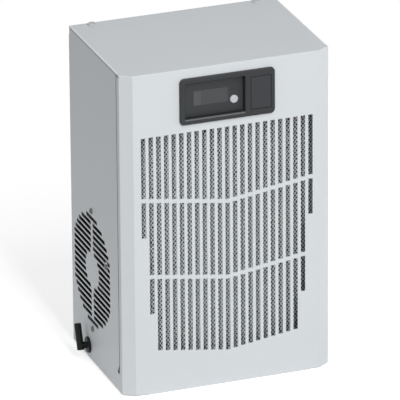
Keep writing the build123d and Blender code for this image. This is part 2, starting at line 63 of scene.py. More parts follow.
# Tinted boxes end this far from a sheet's outer face, past a moulding, below the window, above the floor
SKIN = 0.15 * MILLIMETRE
MARGIN = MILLIMETRE
BELOW_WINDOW = 1.4 * MILLIMETRE
ABOVE_FLOOR = 2 * MILLIMETRE

# Strands of the filter: thickness as a share of the width, and how finely they wander
STRAND_FLATNESS = 0.3
WANDER_SCALE = 460.0

# Screw heads: facets, and the cross recess's length as a share of the radius
HEAD_SEGMENTS = 24
HEAD_RINGS = 12
RECESS_REACH = 1.1

# A normal whose Y is below this belongs to a front face
FRONT_FACING = -0.9

# Corners closer than this are one corner
WELD_DISTANCE = MILLIMETRE / 1000

# Colour and second tone of the finishes that nobody would change
GALVANISED = (0.42, 0.43, 0.44), (0.33, 0.34, 0.35)
RAIL_ALUMINIUM = (0.52, 0.53, 0.54), (0.42, 0.43, 0.44)
BLACK_MOULDING = (0.012, 0.012, 0.013), (0.008, 0.008, 0.009)
CLOSED_CELL_FOAM = (0.018, 0.018, 0.019), (0.008, 0.008, 0.009)
BRIGHT_ZINC = (0.52, 0.54, 0.55), (0.40, 0.42, 0.43)

# Name, azimuth from the front and elevation in degrees, width and height in metres
LAMPS = (
    ("key", 0, 40, 0.6, 2.6),
    ("rim", 70, 0, 1.6, 1.6),
    ("side", -80, 8, 0.7, 0.7),
)
LAMP_DISTANCE = 3.0


# Sizes and colours that a user would change


class CabinetPaintSettings(bpy.types.PropertyGroup):
    colour: bpy.props.FloatVectorProperty(
        name="Colour", description="Powder coat of the sheets", subtype="COLOR", default=(0.655, 0.686, 0.707)
    )
    shade: bpy.props.FloatVectorProperty(
        name="Shade", description="Second tone of the coat's faint mottling", subtype="COLOR",
        default=(0.639, 0.671, 0.693),
    )
    # Painted shade: a dark tone on cut edges, slot walls, seam gaps and the inside of the sheets, where shade
    # falls
    painted_shade: bpy.props.FloatVectorProperty(
        name="Sheltered", description="Thin coat on cut edges and inside the sheets", subtype="COLOR",
        default=(0.19, 0.20, 0.205),
    )
    # Painted highlight: a bright tone along the long upper edges, standing in for light caught by the rounded
    # edge
    edge: bpy.props.FloatVectorProperty(
        name="Edge", description="Bright coat along the long upper edges", subtype="COLOR",
        default=(0.90, 0.93, 0.95),
    )
    edge_width: bpy.props.FloatProperty(
        name="Edge Width", description="Width of the bright edge", default=0.0020, unit="LENGTH"
    )
    roughness: bpy.props.FloatProperty(name="Roughness", description="Sheen of the coat", default=0.48)
    peel: bpy.props.FloatProperty(
        name="Peel", description="Width of one dimple of the coat's texture", default=0.0011, unit="LENGTH"
    )
    peel_depth: bpy.props.FloatProperty(
        name="Peel Depth", description="Depth of the coat's texture", default=0.00002, unit="LENGTH"
    )


class PanelSettings(bpy.types.PropertyGroup):
    bezel: bpy.props.FloatVectorProperty(
        name="Bezel", description="Charcoal moulding round the window", subtype="COLOR",
        default=(0.029, 0.031, 0.033),
    )
    # Painted highlight: the pale lower rim of the window stands in for light falling on its upward-facing
    # lower edge
    rim: bpy.props.FloatVectorProperty(
        name="Rim", description="Worn lower rim of the window", subtype="COLOR", default=(0.145, 0.15, 0.15)
    )
    rim_highlight_depth: bpy.props.FloatProperty(
        name="Rim Depth", description="How far the worn rim reaches into the window",
        default=0.0032, unit="LENGTH",
    )
    controller: bpy.props.FloatVectorProperty(
        name="Controller", description="Face of the controller", subtype="COLOR",
        default=(0.034, 0.036, 0.039),
    )
    display: bpy.props.FloatVectorProperty(
        name="Display", description="Dark display window", subtype="COLOR", default=(0.058, 0.061, 0.064)
    )
    strip: bpy.props.FloatVectorProperty(
        name="Strip", description="Paler left end of the display", subtype="COLOR",
        default=(0.072, 0.075, 0.078),
    )
    strip_share: bpy.props.FloatProperty(
        name="Strip Share", description="Share of the display's width in the paler end", default=0.21
    )
    button: bpy.props.FloatVectorProperty(
        name="Button", description="Round button", subtype="COLOR", default=(0.56, 0.57, 0.60)
    )
    badge: bpy.props.FloatVectorProperty(
        name="Inlay", description="Bare inlay beside the window", subtype="COLOR",
        default=(0.034, 0.035, 0.040),
    )


class FilterSettings(bpy.types.PropertyGroup):
    cell_width: bpy.props.FloatProperty(
        name="Cell Width", description="Width of one diamond of the expanded metal",
        default=0.00428, unit="LENGTH",
    )
    cell_height: bpy.props.FloatProperty(
        name="Cell Height", description="Height of one row of strands", default=0.0029, unit="LENGTH"
    )
    strand: bpy.props.FloatProperty(
        name="Strand", description="Width of a flat strand", default=0.0015, unit="LENGTH"
    )
    unevenness: bpy.props.FloatProperty(
        name="Unevenness", description="How far the strands wander", default=0.0026, unit="LENGTH"
    )
    twist: bpy.props.FloatProperty(
        name="Twist", description="How far the strands turn out of the flat",
        default=radians(110), subtype="ANGLE",
    )
    seed: bpy.props.IntProperty(name="Seed", description="Seed of the wandering", default=7)
    metal: bpy.props.FloatVectorProperty(
        name="Metal", description="Aluminium of the strands", subtype="COLOR", default=(0.96, 0.985, 0.99)
    )
    # Painted shade: the dark tone of the inner layers stands in for the shade deep inside the aluminium mesh
    pocket_shade: bpy.props.FloatVectorProperty(
        name="Pocket", description="Dark layers behind the strands", subtype="COLOR",
        default=(0.034, 0.036, 0.037),
    )


class FinSettings(bpy.types.PropertyGroup):
    pitch: bpy.props.FloatProperty(name="Pitch", description="From fin to fin", default=0.0024, unit="LENGTH")
    thickness: bpy.props.FloatProperty(
        name="Thickness", description="Thickness of a fin", default=0.0003, unit="LENGTH"
    )
    proud: bpy.props.FloatProperty(
        name="Proud", description="How far the fins stand out of the core", default=0.004, unit="LENGTH"
    )
    metal: bpy.props.FloatVectorProperty(
        name="Metal", description="Aluminium of the fins", subtype="COLOR", default=(0.42, 0.43, 0.44)
    )


class ScrewSettings(bpy.types.PropertyGroup):
    radius: bpy.props.FloatProperty(
        name="Radius", description="Radius of a head", default=0.0040, unit="LENGTH"
    )
    height: bpy.props.FloatProperty(
        name="Height", description="Height of a head", default=0.0028, unit="LENGTH"
    )
    recess: bpy.props.FloatProperty(
        name="Recess", description="Width of the cross recess", default=0.0009, unit="LENGTH"
    )
    metal: bpy.props.FloatVectorProperty(
        name="Metal", description="Zinc plate of the heads", subtype="COLOR", default=(0.13, 0.135, 0.14)
    )


class OutletSettings(bpy.types.PropertyGroup):
    voxel: bpy.props.FloatProperty(
        name="Voxel", description="Grain of the moulded elbow's mesh", default=0.00045, unit="LENGTH"
    )
    smoothing: bpy.props.IntProperty(name="Smoothing", description="Rounds of smoothing", default=14)
    colour: bpy.props.FloatVectorProperty(
        name="Colour", description="Black moulding", subtype="COLOR", default=(0.0075, 0.0085, 0.0088)
    )


class StudioSettings(bpy.types.PropertyGroup):
    azimuth: bpy.props.FloatProperty(
        name="Azimuth", description="Camera's turn about the vertical",
        default=radians(-20.20), subtype="ANGLE",
    )
    elevation: bpy.props.FloatProperty(
        name="Elevation", description="Camera's height angle", default=radians(22.56), subtype="ANGLE"
    )
    roll: bpy.props.FloatProperty(
        name="Roll", description="Camera's roll", default=radians(-0.44), subtype="ANGLE"
    )
    distance: bpy.props.FloatProperty(
        name="Distance", description="From the camera to the middle of the view", default=8.0, unit="LENGTH"
    )
    focal_length: bpy.props.FloatProperty(name="Focal Length", description="In millimetres", default=569.2)
    aim: bpy.props.FloatVectorProperty(
        name="Aim", description="Point that the camera was fitted around", default=(0.0, 0.0125, 0.216)
    )
    right: bpy.props.FloatProperty(
        name="Right", description="Camera's offset to its right", default=0.0037, unit="LENGTH"
    )
    up: bpy.props.FloatProperty(
        name="Up", description="Camera's offset upwards", default=-0.0086, unit="LENGTH"
    )
    floor: bpy.props.FloatVectorProperty(
        name="Floor", description="Pale floor", subtype="COLOR", default=(0.80, 0.80, 0.80)
    )
    floor_width: bpy.props.FloatProperty(
        name="Floor Width", description="Width of the strip of floor", default=1.0, unit="LENGTH"
    )
    floor_length: bpy.props.FloatProperty(
        name="Floor Length", description="Length of the strip of floor", default=10.0, unit="LENGTH"
    )
    floor_lift: bpy.props.FloatProperty(
        name="Floor Lift", description="Glow that the camera sees on the floor", default=0.60
    )
    ambient: bpy.props.FloatProperty(name="Ambient", description="Strength of the even light", default=0.305)
    key: bpy.props.FloatProperty(
        name="Key", description="Power of the tall frontal lamp in watts", default=62.0
    )
    rim: bpy.props.FloatProperty(
        name="Rim", description="Power of the right-hand lamp in watts", default=18.0
    )
    side: bpy.props.FloatProperty(
        name="Side", description="Power of the left-hand lamp in watts", default=6.0
    )


# Shader groups that several materials share


def group_socket(group, name, direction, kind, value=None):
    """Adds one named socket to a node group."""
    socket = group.interface.new_socket(name=name, in_out=direction, socket_type=kind)
    if value is not None:
        socket.default_value = value


def filled(tree, node, values):
    """The first output of a node whose inputs are given as sockets or numbers."""
    for socket, value in zip(node.inputs, values):
        if isinstance(value, bpy.types.NodeSocket):
            tree.links.new(value, socket)
        else:
            socket.default_value = value
    return node.outputs[0]


def math_node(tree, operation, *values):
    """A math node between sockets or numbers."""
    node = tree.nodes.new("ShaderNodeMath")
    node.operation = operation
    return filled(tree, node, values)


def vector_math(tree, operation, *values):
    """A vector math node between sockets or vectors."""
    node = tree.nodes.new("ShaderNodeVectorMath")
    node.operation = operation
    return filled(tree, node, values)


def vector_node(tree, x=0.0, y=0.0, z=0.0):
    """A combined vector whose parts are sockets or numbers."""
    return filled(tree, tree.nodes.new("ShaderNodeCombineXYZ"), (x, y, z))


def mottled_grain_group():
    """Two tones in soft patches, with a fine grain that gives height and roughness."""
    group = bpy.data.node_groups.new("mottled_grain", "ShaderNodeTree")
    group_socket(group, "Vector", "INPUT", "NodeSocketVector")
    group_socket(group, "Colour", "INPUT", "NodeSocketColor", (0.5, 0.5, 0.5, 1))
    group_socket(group, "Shade", "INPUT", "NodeSocketColor", (0.4, 0.4, 0.4, 1))
    group_socket(group, "Patch Scale", "INPUT", "NodeSocketFloat", 8.0)
    group_socket(group, "Grain Scale", "INPUT", "NodeSocketFloat", 900.0)
    group_socket(group, "Roughness", "INPUT", "NodeSocketFloat", 0.5)
    group_socket(group, "Roughness Spread", "INPUT", "NodeSocketFloat", 0.1)
    group_socket(group, "Colour", "OUTPUT", "NodeSocketColor")
    group_socket(group, "Roughness", "OUTPUT", "NodeSocketFloat")
    group_socket(group, "Height", "OUTPUT", "NodeSocketFloat")
    nodes, links = group.nodes, group.links
    given = nodes.new("NodeGroupInput")
    result = nodes.new("NodeGroupOutput")
    patches = nodes.new("ShaderNodeTexNoise")
    patches.inputs["Detail"].default_value = 3.0
    links.new(given.outputs["Vector"], patches.inputs["Vector"])
    links.new(given.outputs["Patch Scale"], patches.inputs["Scale"])
    grain = nodes.new("ShaderNodeTexNoise")
    grain.inputs["Detail"].default_value = 2.0
    links.new(given.outputs["Vector"], grain.inputs["Vector"])
    links.new(given.outputs["Grain Scale"], grain.inputs["Scale"])
    tones = nodes.new("ShaderNodeMix")
    tones.data_type = "RGBA"
    links.new(patches.outputs["Fac"], tones.inputs["Factor"])
    links.new(given.outputs["Colour"], tones.inputs["A"])
    links.new(given.outputs["Shade"], tones.inputs["B"])
    centred = math_node(group, "SUBTRACT", grain.outputs["Fac"], 0.5)
    spread, roughness = given.outputs["Roughness Spread"], given.outputs["Roughness"]
    sheen = math_node(group, "MULTIPLY_ADD", centred, spread, roughness)
    links.new(tones.outputs["Result"], result.inputs["Colour"])
    links.new(sheen, result.inputs["Roughness"])
    links.new(grain.outputs["Fac"], result.inputs["Height"])
    return group


def box_mask_group():
    """A mask that is 1 inside the box between two corners."""
    group = bpy.data.node_groups.new("box_mask", "ShaderNodeTree")
    for label in ("Vector", "Low", "High"):
        group_socket(group, label, "INPUT", "NodeSocketVector")
    group_socket(group, "Mask", "OUTPUT", "NodeSocketFloat")
    given = group.nodes.new("NodeGroupInput")
    result = group.nodes.new("NodeGroupOutput")
    over_low = vector_math(group, "SUBTRACT", given.outputs["Vector"], given.outputs["Low"])
    under_high = vector_math(group, "SUBTRACT", given.outputs["High"], given.outputs["Vector"])
    parts = group.nodes.new("ShaderNodeSeparateXYZ")
    group.links.new(vector_math(group, "MINIMUM", over_low, under_high), parts.inputs[0])
    least = math_node(group, "MINIMUM", parts.outputs[0], parts.outputs[1])
    least = math_node(group, "MINIMUM", least, parts.outputs[2])
    group.links.new(math_node(group, "GREATER_THAN", least, 0.0), result.inputs["Mask"])
    return group


def shared_group(name, maker):
    """The node group of that name, built once."""
    return bpy.data.node_groups.get(name) or maker()


def new_material(name):
    """A material and its Principled BSDF."""
    material = bpy.data.materials.new(name)
    material.use_nodes = True
    return material, material.node_tree.nodes["Principled BSDF"]


def grained_material(
    name, colour, shade, roughness, spread, patch_scale, grain_scale, grain_depth, metallic=0.0, specular=0.5
):
    """A finish of two soft tones with a fine grain in its gloss and its surface."""
    material, shader = new_material(name)
    nodes, links = material.node_tree.nodes, material.node_tree.links
    place = nodes.new("ShaderNodeTexCoord")
    grain = nodes.new("ShaderNodeGroup")
    grain.node_tree = shared_group("mottled_grain", mottled_grain_group)
    grain.inputs["Colour"].default_value = (*colour, 1)
    grain.inputs["Shade"].default_value = (*shade, 1)
    grain.inputs["Patch Scale"].default_value = patch_scale
    grain.inputs["Grain Scale"].default_value = grain_scale
    grain.inputs["Roughness"].default_value = roughness
    grain.inputs["Roughness Spread"].default_value = spread
    bump = nodes.new("ShaderNodeBump")
    bump.inputs["Distance"].default_value = grain_depth
    links.new(place.outputs["Object"], grain.inputs["Vector"])
    links.new(grain.outputs["Colour"], shader.inputs["Base Color"])
    links.new(grain.outputs["Roughness"], shader.inputs["Roughness"])
    links.new(grain.outputs["Height"], bump.inputs["Height"])
    links.new(bump.outputs["Normal"], shader.inputs["Normal"])
    shader.inputs["Metallic"].default_value = metallic
    shader.inputs["Specular IOR Level"].default_value = specular
    return material


def tint_box(material, low, high, colour):
    """Gives the material another colour inside the box between two corners."""
    nodes, links = material.node_tree.nodes, material.node_tree.links
    base = nodes["Principled BSDF"].inputs["Base Color"]
    place = nodes.new("ShaderNodeTexCoord")
    mask = nodes.new("ShaderNodeGroup")
    mask.node_tree = shared_group("box_mask", box_mask_group)
    mask.inputs["Low"].default_value = low
    mask.inputs["High"].default_value = high
    tint = nodes.new("ShaderNodeMix")
    tint.data_type = "RGBA"
    tint.inputs["B"].default_value = (*colour, 1)
    links.new(place.outputs["Object"], mask.inputs["Vector"])
    links.new(mask.outputs["Mask"], tint.inputs["Factor"])
    links.new(base.links[0].from_socket, tint.inputs["A"])
    links.new(tint.outputs["Result"], base)


def darker(colour, share):
    """The colour, dimmed to that share."""
    return tuple(channel * share for channel in colour)


def finish_node(name, material):
    """Gives a carried-over node its material."""
    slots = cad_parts[name].material_slots
    for slot in slots:
        slot.material = material
    if not slots:
        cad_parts[name].data.materials.append(material)


def keep_piece(piece):
    """Lets a finished piece ride on the body."""
    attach(piece, BODY)
    return piece


def mesh_piece(name, mesh, material):
    """A new object at the origin with that mesh and material."""
    mesh.materials.clear()
    mesh.materials.append(material)
    piece = bpy.data.objects.new(name, mesh)
    bpy.context.scene.collection.objects.link(piece)
    return piece


# Geometry node trees


def new_tree(name, inputs):
    """A geometry node tree with its named inputs, and its group input and output nodes."""
    tree = bpy.data.node_groups.new(name, "GeometryNodeTree")
    group_socket(tree, "Geometry", "OUTPUT", "NodeSocketGeometry")
    for label, kind in inputs:
        group_socket(tree, label, "INPUT", kind)
    return tree, tree.nodes.new("NodeGroupInput"), tree.nodes.new("NodeGroupOutput")


def close_tree(tree, shape, given, result):
    """Realizes the instances, sets the material and leads the shape out."""
    real = tree.nodes.new("GeometryNodeRealizeInstances")
    painted = tree.nodes.new("GeometryNodeSetMaterial")
    tree.links.new(shape, real.inputs["Geometry"])
    tree.links.new(real.outputs["Geometry"], painted.inputs["Geometry"])
    tree.links.new(given.outputs["Material"], painted.inputs["Material"])
    tree.links.new(painted.outputs["Geometry"], result.inputs["Geometry"])


def expanded_metal_tree():
    """Rows of zigzag strands that meet at their peaks, wandering a little."""
    tree, given, result = new_tree("expanded_metal", [
        ("Width", "NodeSocketFloat"), ("Height", "NodeSocketFloat"), ("Cell Width", "NodeSocketFloat"),
        ("Cell Height", "NodeSocketFloat"), ("Strand", "NodeSocketFloat"), ("Unevenness", "NodeSocketFloat"),
        ("Twist", "NodeSocketFloat"), ("Seed", "NodeSocketInt"), ("Material", "NodeSocketMaterial"),
    ])
    nodes, links = tree.nodes, tree.links
    cell_height = given.outputs["Cell Height"]
    half_cell = math_node(tree, "DIVIDE", given.outputs["Cell Width"], 2.0)
    steps = math_node(tree, "FLOOR", math_node(tree, "DIVIDE", given.outputs["Width"], half_cell))
    rows = math_node(tree, "FLOOR", math_node(tree, "DIVIDE", given.outputs["Height"], cell_height))
    strand = nodes.new("GeometryNodeMeshLine")
    links.new(math_node(tree, "ADD", steps, 1.0), strand.inputs["Count"])
    links.new(vector_node(tree, x=half_cell), strand.inputs["Offset"])
    index = nodes.new("GeometryNodeInputIndex")
    odd = math_node(tree, "MODULO", index.outputs[0], 2.0)
    swing = math_node(tree, "MULTIPLY", math_node(tree, "SUBTRACT", odd, 0.5), cell_height)
    zigzag = nodes.new("GeometryNodeSetPosition")
    links.new(strand.outputs["Mesh"], zigzag.inputs["Geometry"])
    links.new(vector_node(tree, y=swing), zigzag.inputs["Offset"])
    stack = nodes.new("GeometryNodeMeshLine")
    links.new(rows, stack.inputs["Count"])
    links.new(vector_node(tree, y=cell_height), stack.inputs["Offset"])
    spread = nodes.new("GeometryNodeInstanceOnPoints")
    links.new(stack.outputs["Mesh"], spread.inputs["Points"])
    links.new(zigzag.outputs["Geometry"], spread.inputs["Instance"])
    row = nodes.new("GeometryNodeInputIndex")
    row_odd = math_node(tree, "MODULO", row.outputs[0], 2.0)
    flip = math_node(tree, "SUBTRACT", 1.0, math_node(tree, "MULTIPLY", row_odd, 2.0))
    links.new(vector_node(tree, x=1.0, y=flip, z=1.0), spread.inputs["Scale"])
    flat = nodes.new("GeometryNodeRealizeInstances")
    links.new(spread.outputs["Instances"], flat.inputs["Geometry"])
    wander = nodes.new("ShaderNodeTexNoise")
    wander.noise_dimensions = "4D"
    wander.inputs["Scale"].default_value = WANDER_SCALE
    place = nodes.new("GeometryNodeInputPosition")
    links.new(place.outputs[0], wander.inputs["Vector"])
    links.new(given.outputs["Seed"], wander.inputs["W"])
    centred = vector_math(tree, "SUBTRACT", wander.outputs["Color"], (0.5, 0.5, 0.5))
    offset = nodes.new("ShaderNodeVectorMath")
    offset.operation = "SCALE"
    links.new(centred, offset.inputs[0])
    links.new(given.outputs["Unevenness"], offset.inputs["Scale"])
    moved = nodes.new("GeometryNodeSetPosition")
    links.new(flat.outputs["Geometry"], moved.inputs["Geometry"])
    links.new(offset.outputs[0], moved.inputs["Offset"])
    lines = nodes.new("GeometryNodeMeshToCurve")
    links.new(moved.outputs["Geometry"], lines.inputs["Mesh"])
    flat_lying = nodes.new("GeometryNodeSetCurveNormal")
    flat_lying.mode = "Z_UP"
    links.new(lines.outputs["Curve"], flat_lying.inputs["Curve"])
    sway = math_node(tree, "SUBTRACT", wander.outputs["Fac"], 0.5)
    turn = math_node(tree, "MULTIPLY", sway, given.outputs["Twist"])
    twisted = nodes.new("GeometryNodeSetCurveTilt")
    links.new(flat_lying.outputs["Curve"], twisted.inputs["Curve"])
    links.new(turn, twisted.inputs["Tilt"])
    section = nodes.new("GeometryNodeCurvePrimitiveQuadrilateral")
    links.new(given.outputs["Strand"], section.inputs["Width"])
    thickness = math_node(tree, "MULTIPLY", given.outputs["Strand"], STRAND_FLATNESS)
    links.new(thickness, section.inputs["Height"])
    swept = nodes.new("GeometryNodeCurveToMesh")
    swept.inputs["Fill Caps"].default_value = True
    links.new(twisted.outputs["Curve"], swept.inputs["Curve"])
    links.new(section.outputs["Curve"], swept.inputs["Profile Curve"])
    close_tree(tree, swept.outputs["Mesh"], given, result)
    return tree


def fin_stack_tree():
    """A row of thin upright plates along X."""
    tree, given, result = new_tree("fin_stack", [
        ("Count", "NodeSocketInt"), ("Pitch", "NodeSocketFloat"), ("Thickness", "NodeSocketFloat"),
        ("Depth", "NodeSocketFloat"), ("Height", "NodeSocketFloat"), ("Material", "NodeSocketMaterial"),
    ])
    nodes, links = tree.nodes, tree.links
    row = nodes.new("GeometryNodeMeshLine")
    links.new(given.outputs["Count"], row.inputs["Count"])
    links.new(vector_node(tree, x=given.outputs["Pitch"]), row.inputs["Offset"])
    plate = nodes.new("GeometryNodeMeshCube")
    size = vector_node(tree, given.outputs["Thickness"], given.outputs["Depth"], given.outputs["Height"])
    links.new(size, plate.inputs["Size"])
    spread = nodes.new("GeometryNodeInstanceOnPoints")
    links.new(row.outputs["Mesh"], spread.inputs["Points"])
    links.new(plate.outputs["Mesh"], spread.inputs["Instance"])
    close_tree(tree, spread.outputs["Instances"], given, result)
    return tree


def screw_heads_tree():
    """A pan head with a cross recess on every point, turned to the point's facing."""
    tree, given, result = new_tree("screw_heads", [
        ("Points", "NodeSocketGeometry"), ("Radius", "NodeSocketFloat"), ("Height", "NodeSocketFloat"),
        ("Recess", "NodeSocketFloat"), ("Material", "NodeSocketMaterial"),
    ])
    nodes, links = tree.nodes, tree.links
    ball = nodes.new("GeometryNodeMeshUVSphere")
    ball.inputs["Segments"].default_value = HEAD_SEGMENTS
    ball.inputs["Rings"].default_value = HEAD_RINGS
    ball.inputs["Radius"].default_value = 1.0
    pan = nodes.new("GeometryNodeTransform")
    links.new(ball.outputs["Mesh"], pan.inputs["Geometry"])
    radius, height, recess = given.outputs["Radius"], given.outputs["Height"], given.outputs["Recess"]
    links.new(vector_node(tree, radius, radius, height), pan.inputs["Scale"])
    cuts = nodes.new("GeometryNodeJoinGeometry")
    reach = math_node(tree, "MULTIPLY", radius, RECESS_REACH)
    for size in (vector_node(tree, reach, recess, height), vector_node(tree, recess, reach, height)):
        arm = nodes.new("GeometryNodeMeshCube")
        links.new(size, arm.inputs["Size"])
        raised = nodes.new("GeometryNodeTransform")
        links.new(arm.outputs["Mesh"], raised.inputs["Geometry"])
        links.new(vector_node(tree, z=height), raised.inputs["Translation"])
        links.new(raised.outputs["Geometry"], cuts.inputs["Geometry"])
    recessed = nodes.new("GeometryNodeMeshBoolean")
    recessed.operation = "DIFFERENCE"
    links.new(pan.outputs["Geometry"], recessed.inputs["Mesh 1"])
    links.new(cuts.outputs["Geometry"], recessed.inputs["Mesh 2"])
    facing = nodes.new("GeometryNodeInputNamedAttribute")
    facing.data_type = "FLOAT_VECTOR"
    facing.inputs["Name"].default_value = "facing"
    turned = nodes.new("FunctionNodeAlignRotationToVector")
    links.new(facing.outputs["Attribute"], turned.inputs["Vector"])
    spread = nodes.new("GeometryNodeInstanceOnPoints")
    links.new(given.outputs["Points"], spread.inputs["Points"])
    links.new(recessed.outputs["Mesh"], spread.inputs["Instance"])
    links.new(turned.outputs["Rotation"], spread.inputs["Rotation"])
    close_tree(tree, spread.outputs["Instances"], given, result)
    return tree


def evaluated_mesh(piece):
    """A plain mesh of what the object's modifiers make."""
    bpy.context.view_layer.update()
    evaluated = piece.evaluated_get(bpy.context.evaluated_depsgraph_get())
    return bpy.data.meshes.new_from_object(evaluated)


def grow(name, tree, values, material, base=None):
    """The plain mesh that a geometry node tree makes from the named values."""
    holder = bpy.data.objects.new(name + "_source", base or bpy.data.meshes.new(name + "_source"))
    bpy.context.scene.collection.objects.link(holder)
    modifier = holder.modifiers.new(tree.name, "NODES")
    modifier.node_group = tree
    sockets = {item.name: item.identifier for item in tree.interface.items_tree if item.in_out == "INPUT"}
    for label, value in values.items():
        modifier[sockets[label]] = value
    modifier[sockets["Material"]] = material
    mesh = evaluated_mesh(holder)
    mesh.name = name
    bpy.data.objects.remove(holder)
    return mesh


# Places read from the frame


def front_face(node):
    """Middle, right and up directions, width and height of the node's broadest face towards -Y."""
    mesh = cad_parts[node].data
    facing = [polygon for polygon in mesh.polygons if polygon.normal.y < FRONT_FACING]
    corners = [mesh.vertices[index].co.copy() for polygon in facing for index in polygon.vertices]
    low = min(corner.z for corner in corners)
    high = max(corner.z for corner in corners)
    foot = [corner for corner in corners if abs(corner.z - low) < MILLIMETRE]
    head = [corner for corner in corners if abs(corner.z - high) < MILLIMETRE]
    width = max(corner.x for corner in foot) - min(corner.x for corner in foot)
    foot_middle = Vector((0, foot[0].y, foot[0].z))
    head_middle = Vector((0, head[0].y, head[0].z))
    rise = head_middle - foot_middle
    return (foot_middle + head_middle) / 2, Vector((1, 0, 0)), rise.normalized(), width, rise.length


# One operator for each piece or group of like pieces


class DressOperator(bpy.types.Operator):
    """Shared options of the operators"""

    bl_options = {"REGISTER", "UNDO"}


class ENCLOSUREAC_OT_cabinet(DressOperator):
    """Powder coat on the sheets of the cabinet, with painted shade inside the sheets and a painted highlight
    along the long upper edges
    """

    bl_idname = "enclosure_ac.cabinet"
    bl_label = "Cabinet Sheets"

    def execute(self, context):
        paint = context.scene.ac_cabinet_paint
        coat = grained_material(
            "cabinet_powder_coat", paint.colour, paint.shade, roughness=paint.roughness, spread=0.12,
            patch_scale=7.0, grain_scale=1 / paint.peel, grain_depth=paint.peel_depth,
        )
        low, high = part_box("top_cover")
        side_low, side_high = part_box("left_side_panel")
        seam, rear = side_low.y, side_high.y
        # Painted shade: everything inside the sheets' outer faces, such as slot walls and seam gaps, takes
        # the dark tone
        tint_box(
            coat, (low.x + SKIN, seam - MARGIN, ABOVE_FLOOR),
            (high.x - SKIN, rear - SKIN, low.z - SKIN), paint.painted_shade,
        )
        # Painted highlight along the top cover's long side edges
        reach = paint.edge_width
        for x in (low.x, high.x):
            tint_box(coat, (x - reach, seam, high.z - SKIN), (x + reach, rear, high.z + SKIN), paint.edge)
        for name in (
            "front_cover", "top_cover", "base_pan", "left_side_panel", "right_side_panel", "rear_plate",
        ):
            finish_node(name, coat)
        plain = grained_material(
            "galvanised_sheet", *GALVANISED, roughness=0.42, spread=0.2,
            patch_scale=60.0, grain_scale=1500.0, grain_depth=0.00001, metallic=0.9,
        )
        finish_node("bulkhead", plain)
        return {"FINISHED"}


class ENCLOSUREAC_OT_panel(DressOperator):
    """Bezel, controller, display window, button and bare inlay"""

    bl_idname = "enclosure_ac.panel"
    bl_label = "Control Panel"

    def execute(self, context):
        panel = context.scene.ac_panel
        for name, colour, roughness, depth in (
            ("control_bezel", panel.bezel, 0.42, 0.00003),
            ("controller", panel.controller, 0.50, 0.00003),
            ("badge_plate", panel.badge, 0.46, 0.00001),
        ):
            moulded = grained_material(
                name + "_moulding", colour, darker(colour, share=0.88), roughness=roughness, spread=0.16,
                patch_scale=25.0, grain_scale=2200.0, grain_depth=depth, specular=0.3,
            )
            finish_node(name, moulded)
            if name == "control_bezel":
                # Painted highlight on the window's lower rim
                low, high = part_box("controller")
                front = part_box("control_bezel")[0].y
                tint_box(
                    moulded, (low.x, front - MARGIN, low.z - BELOW_WINDOW),
                    (high.x, front + panel.rim_highlight_depth, low.z + MARGIN), panel.rim,
                )
        glass = grained_material(
            "display_glass", panel.display, darker(panel.display, share=0.92), roughness=0.22, spread=0.05,
            patch_scale=30.0, grain_scale=2600.0, grain_depth=0.000004, specular=0.3,
        )
        low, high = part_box("display_window")
        strip_end = low.x + (high.x - low.x) * panel.strip_share
        tint_box(
            glass, (low.x - MARGIN, low.y - MARGIN, low.z - MARGIN),
            (strip_end, high.y + MARGIN, high.z + MARGIN), panel.strip,
        )
        finish_node("display_window", glass)
        finish_node("control_button", grained_material(
            "button_moulding", panel.button, darker(panel.button, share=0.94), roughness=0.38, spread=0.1,
            patch_scale=120.0, grain_scale=2200.0, grain_depth=0.00002,
        ))
        return {"FINISHED"}


class ENCLOSUREAC_OT_filter(DressOperator):
    """Strands of the air filter's expanded metal, on its inner layers in painted shade"""

    bl_idname = "enclosure_ac.filter"
    bl_label = "Air Filter"

    def execute(self, context):
        filter_sizes = context.scene.ac_filter
        strand_metal = grained_material(
            "filter_strand_aluminium", filter_sizes.metal, darker(filter_sizes.metal, share=0.95),
            roughness=0.42, spread=0.3, patch_scale=900.0, grain_scale=2500.0, grain_depth=0.00002,
        )
        middle, right, up, width, height = front_face("filter_mesh")
        mesh = grow("filter_strands", expanded_metal_tree(), {
            "Width": width - filter_sizes.strand,
            "Height": height,
            "Cell Width": filter_sizes.cell_width,
            "Cell Height": filter_sizes.cell_height,
            "Strand": filter_sizes.strand,
            "Unevenness": filter_sizes.unevenness,
            "Twist": filter_sizes.twist,
            "Seed": filter_sizes.seed,
        }, strand_metal)
        out = right.cross(up)
        half_cell = filter_sizes.cell_width / 2
        run = int((width - filter_sizes.strand) / half_cell) * half_cell
        rise = height - filter_sizes.cell_height
        corner = middle - right * run / 2 - up * rise / 2 + out * filter_sizes.strand / 2
        place = Matrix((right, up, out)).transposed().to_4x4()
        mesh.transform(Matrix.Translation(corner) @ place)
        keep_piece(mesh_piece("filter_strands", mesh, strand_metal))
        # Painted shade: the filter's inner layers take a dark tone for the shade between and behind the
        # strands
        finish_node("filter_mesh", grained_material(
            "filter_inner_layers", filter_sizes.pocket_shade, darker(filter_sizes.pocket_shade, share=0.3),
            roughness=0.6, spread=0.2, patch_scale=700.0, grain_scale=1800.0, grain_depth=0.0002,
            metallic=0.3,
        ))
        finish_node("filter_frame", grained_material(
            "filter_rail_aluminium", *RAIL_ALUMINIUM, roughness=0.4, spread=0.15,
            patch_scale=40.0, grain_scale=1500.0, grain_depth=0.00001,
        ))
        return {"FINISHED"}


